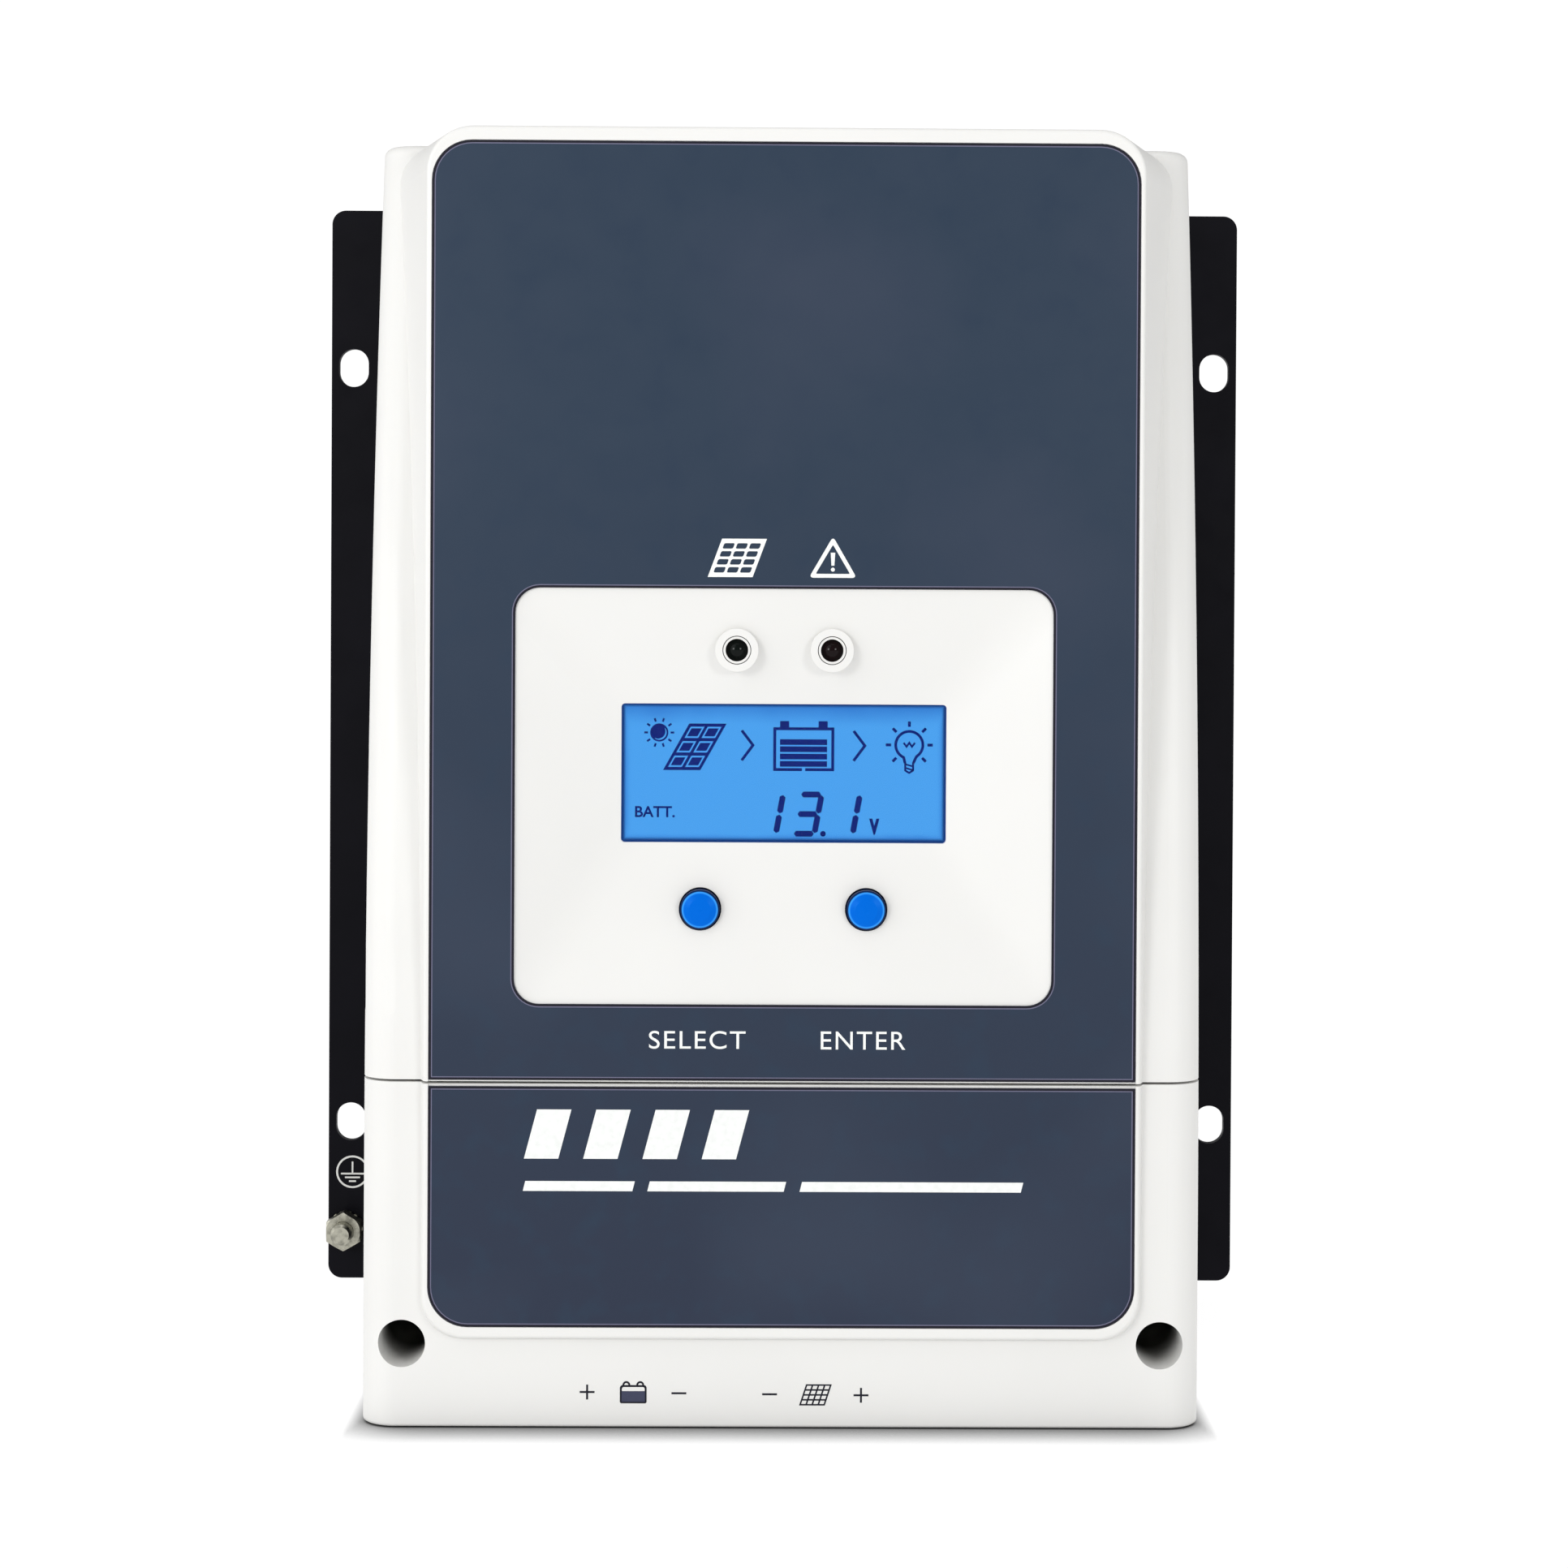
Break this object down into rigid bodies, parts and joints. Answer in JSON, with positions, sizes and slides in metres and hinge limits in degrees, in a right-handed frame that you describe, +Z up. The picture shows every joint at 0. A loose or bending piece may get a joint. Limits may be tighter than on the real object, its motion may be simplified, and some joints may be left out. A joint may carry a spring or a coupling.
{
  "type": "charge controller",
  "caption": "Wall-mounted solar charge controller with finned heat sink, slotted mounting ears, dished display recess, press buttons and a lift-off terminal cover.",
  "frame": {"origin": "on the wall plane, midway between the four wall slots", "axes": "+Z up along the case's long side, +X to the viewer's right, +Y into the wall, so the front faces -Y"},
  "size_m": [0.216, 0.119, 0.2618],
  "materials": {
    "white_plastic": "fine moulded texture",
    "film": "satin printed film",
    "ear_metal": "fine satin black powder coat",
    "sink_metal": "black anodised",
    "zinc_steel": "zinc plated",
    "black_steel": "black oxide",
    "clear_pane": "clear",
    "lcd_glass": "blue liquid crystal",
    "backlight": "diffuser",
    "green_lamp": "tinted lens",
    "red_lamp": "tinted lens",
    "blue_button": "gloss",
    "board_green": "solder mask",
    "black_plastic": "moulded",
    "grey_ribbon": "vinyl",
    "ferrite": "epoxy coat",
    "copper": "enamelled copper",
    "can_sleeve": "shrink sleeve",
    "pad_grey": "silicone",
    "terminal_green": "moulded",
    "plated_brass": "tin plated",
    "black_rubber": "soft"
  },
  "bodies": {
    "controller": {"front_housing": "white_plastic", "upper_overlay": "film", "lcd_window": "clear_pane", "lcd_module": "lcd_glass", "lcd_backlight": "backlight", "display_board": "board_green", "display_board_screws": "zinc_steel", "charging_lamp": "green_lamp", "fault_lamp": "red_lamp", "tact_switches": "black_plastic", "board_connectors": "black_plastic", "ribbon_cable": "grey_ribbon", "heat_sink": "sink_metal", "mounting_ear_left": "ear_metal", "mounting_ear_right": "ear_metal", "ear_screws": "black_steel", "ground_stud": "zinc_steel", "ground_lock_washer": "zinc_steel", "housing_screws": "zinc_steel", "cover_posts": "plated_brass", "main_board": "board_green", "board_standoffs": "plated_brass", "board_screws": "zinc_steel", "input_capacitors": "can_sleeve", "output_capacitors": "can_sleeve", "inductor_cores": "ferrite", "inductor_windings": "copper", "microcontroller": "black_plastic", "transistor_pads": "pad_grey", "power_transistors": "black_plastic", "transistor_clamp": "zinc_steel", "clamp_screws": "zinc_steel", "terminal_block": "terminal_green", "terminal_straps": "copper", "data_port": "black_plastic", "sensor_port": "black_plastic", "entry_plate": "ear_metal", "entry_strip": "ear_metal", "cable_grommets": "black_rubber", "entry_plate_screws": "zinc_steel"},
    "terminal_cover": {"terminal_cover": "white_plastic", "cover_overlay": "film"},
    "cover_screw_left": {"cover_screw_left": "zinc_steel"},
    "cover_screw_right": {"cover_screw_right": "zinc_steel"},
    "select_button": {"select_button": "blue_button", "select_plunger": "black_plastic"},
    "enter_button": {"enter_button": "blue_button", "enter_plunger": "black_plastic"},
    "ground_nut": {"ground_nut": "zinc_steel"},
    "battery_positive_screw": {"battery_positive_screw": "zinc_steel"},
    "battery_positive_clamp": {"battery_positive_clamp": "plated_brass"},
    "battery_negative_screw": {"battery_negative_screw": "zinc_steel"},
    "battery_negative_clamp": {"battery_negative_clamp": "plated_brass"},
    "solar_negative_screw": {"solar_negative_screw": "zinc_steel"},
    "solar_negative_clamp": {"solar_negative_clamp": "plated_brass"},
    "solar_positive_screw": {"solar_positive_screw": "zinc_steel"},
    "solar_positive_clamp": {"solar_positive_clamp": "plated_brass"}
  },
  "joints": [
    {"name": "select_press", "type": "slide", "parent": "controller", "child": "select_button", "axis": [0, 1, 0], "range_m": [0, 0.001], "stiffness_N_per_m": 1500},
    {"name": "enter_press", "type": "slide", "parent": "controller", "child": "enter_button", "axis": [0, 1, 0], "range_m": [0, 0.001], "stiffness_N_per_m": 1500},
    {"name": "cover_lift_off", "type": "slide", "parent": "controller", "child": "terminal_cover", "axis": [0, -1, 0], "range_m": [0, 0.075]},
    {"name": "left_cover_screw_turn", "type": "hinge", "parent": "terminal_cover", "child": "cover_screw_left", "pos_m": [-0.0765, -0.07, -0.1145], "axis": [0, 1, 0], "continuous": true},
    {"name": "right_cover_screw_turn", "type": "hinge", "parent": "terminal_cover", "child": "cover_screw_right", "pos_m": [0.0765, -0.07, -0.1145], "axis": [0, 1, 0], "continuous": true},
    {"name": "ground_nut_turn", "type": "hinge", "parent": "controller", "child": "ground_nut", "pos_m": [-0.1038, -0.005, -0.1155], "axis": [0, 1, 0], "continuous": true},
    {"name": "battery_positive_screw_turn", "type": "hinge", "parent": "controller", "child": "battery_positive_screw", "pos_m": [-0.0395, -0.085, -0.091], "axis": [0, 1, 0], "range_deg": [-60, 2220]},
    {"name": "battery_positive_clamp_draw", "type": "slide", "parent": "controller", "child": "battery_positive_clamp", "axis": [0, -1, 0], "range_m": [0, 0.0048]},
    {"name": "battery_negative_screw_turn", "type": "hinge", "parent": "controller", "child": "battery_negative_screw", "pos_m": [-0.02117, -0.085, -0.091], "axis": [0, 1, 0], "range_deg": [-60, 2220]},
    {"name": "battery_negative_clamp_draw", "type": "slide", "parent": "controller", "child": "battery_negative_clamp", "axis": [0, -1, 0], "range_m": [0, 0.0048]},
    {"name": "solar_negative_screw_turn", "type": "hinge", "parent": "controller", "child": "solar_negative_screw", "pos_m": [-0.00284, -0.085, -0.091], "axis": [0, 1, 0], "range_deg": [-60, 2220]},
    {"name": "solar_negative_clamp_draw", "type": "slide", "parent": "controller", "child": "solar_negative_clamp", "axis": [0, -1, 0], "range_m": [0, 0.0048]},
    {"name": "solar_positive_screw_turn", "type": "hinge", "parent": "controller", "child": "solar_positive_screw", "pos_m": [0.01549, -0.085, -0.091], "axis": [0, 1, 0], "range_deg": [-60, 2220]},
    {"name": "solar_positive_clamp_draw", "type": "slide", "parent": "controller", "child": "solar_positive_clamp", "axis": [0, -1, 0], "range_m": [0, 0.0048]}
  ],
  "couplings": [
    {"joint": "battery_positive_screw_turn", "follows": "battery_positive_clamp_draw", "rad_per_m": 7854},
    {"joint": "battery_negative_screw_turn", "follows": "battery_negative_clamp_draw", "rad_per_m": 7854},
    {"joint": "solar_negative_screw_turn", "follows": "solar_negative_clamp_draw", "rad_per_m": 7854},
    {"joint": "solar_positive_screw_turn", "follows": "solar_positive_clamp_draw", "rad_per_m": 7854}
  ]
}
